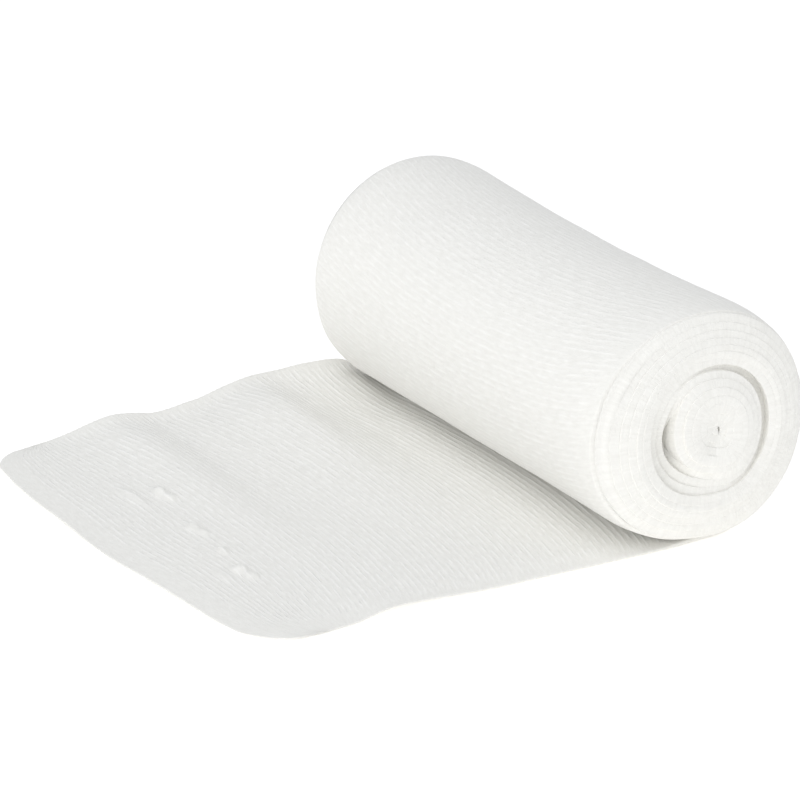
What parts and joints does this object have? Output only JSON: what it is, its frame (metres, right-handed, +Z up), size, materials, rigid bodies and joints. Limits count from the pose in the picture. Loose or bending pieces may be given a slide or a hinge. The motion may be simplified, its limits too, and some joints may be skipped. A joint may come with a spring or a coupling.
{
  "type": "elastic bandage roll",
  "caption": "Strip of soft white stretch cloth wound into a roll, its loose end lying out flat with gentle waves.",
  "frame": {"origin": "on the surface that the roll rests on, under the middle of the roll", "axes": "+Z up, Y along the roll's axis with the near end towards -Y, the loose end lying towards -X"},
  "size_m": [0.1106, 0.1016, 0.0422],
  "materials": {
    "cloth": "matt"
  },
  "bodies": {
    "root": {"bandage": "cloth"}
  },
  "joints": []
}
